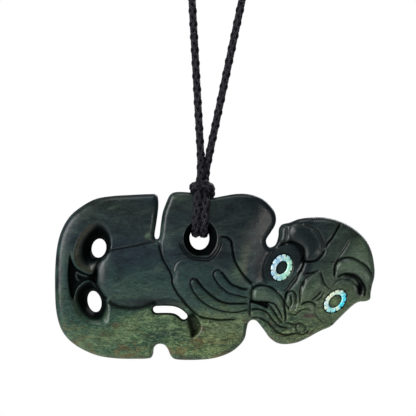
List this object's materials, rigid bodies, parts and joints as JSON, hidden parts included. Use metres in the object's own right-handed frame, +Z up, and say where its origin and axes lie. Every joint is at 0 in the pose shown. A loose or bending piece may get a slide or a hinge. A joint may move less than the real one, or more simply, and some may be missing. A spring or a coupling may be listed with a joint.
{
  "type": "hei tiki pendant on a neck cord",
  "caption": "Pierced and carved dark green stone pendant, a traditional figure on its side with shell eye rings, hitched to a long loop of black plaited neck cord.",
  "frame": {"origin": "the inside of the top of the cord loop, where it hangs", "axes": "+Z up, +X towards the figure's head, -Y towards the carved front"},
  "size_m": [0.1101, 0.0134, 0.358],
  "materials": {
    "stone": "satin polished greenstone, lighter mottled green along its lower edge",
    "shell": "polished iridescent shell",
    "cord": "waxed plaited cord"
  },
  "bodies": {
    "root": {"tiki": "stone", "upper_eye_ring": "shell", "lower_eye_ring": "shell", "cord_hitch": "cord", "neck_cord": "cord", "closing_knot": "cord"}
  },
  "joints": []
}
